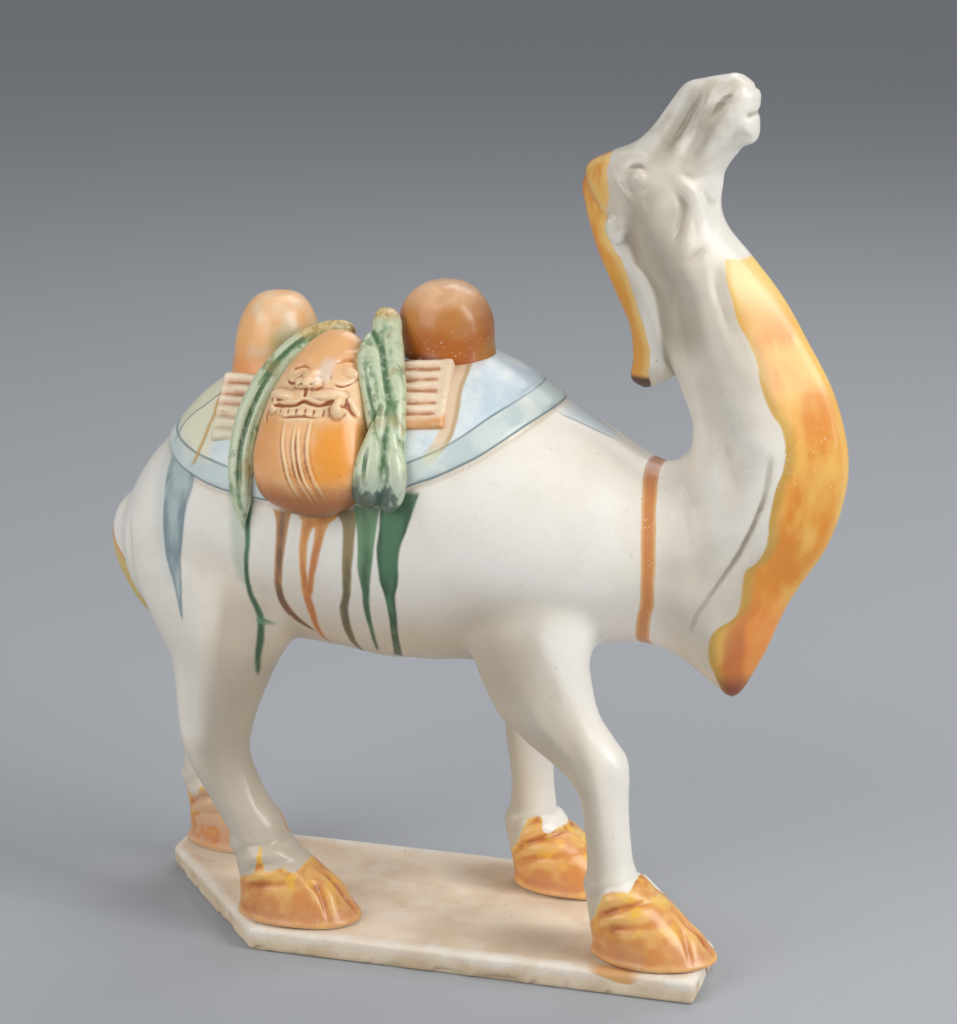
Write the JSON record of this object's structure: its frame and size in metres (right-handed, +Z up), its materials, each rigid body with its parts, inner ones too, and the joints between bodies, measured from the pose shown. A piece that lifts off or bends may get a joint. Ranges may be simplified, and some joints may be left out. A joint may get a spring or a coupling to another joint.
{
  "type": "sancai camel figure",
  "caption": "Standing glazed earthenware camel with raised head and open mouth, laden with a saddle cloth, pack boards and beast-mask bags, on a flat unglazed slab.",
  "frame": {"origin": "middle of the slab's underside, on the figure's middle plane", "axes": "+X from the tail to the muzzle, +Y to the figure's left, +Z up"},
  "size_m": [0.3843, 0.1642, 0.4475],
  "materials": {
    "three_colour_glaze": "glossy lead glaze in cream, amber, green and blue, run and pooled, with a fine crackle",
    "bare_clay": "matte unglazed buff earthenware with a few glaze runs"
  },
  "bodies": {
    "root": {"camel": "three_colour_glaze", "base_slab": "bare_clay"}
  },
  "joints": []
}
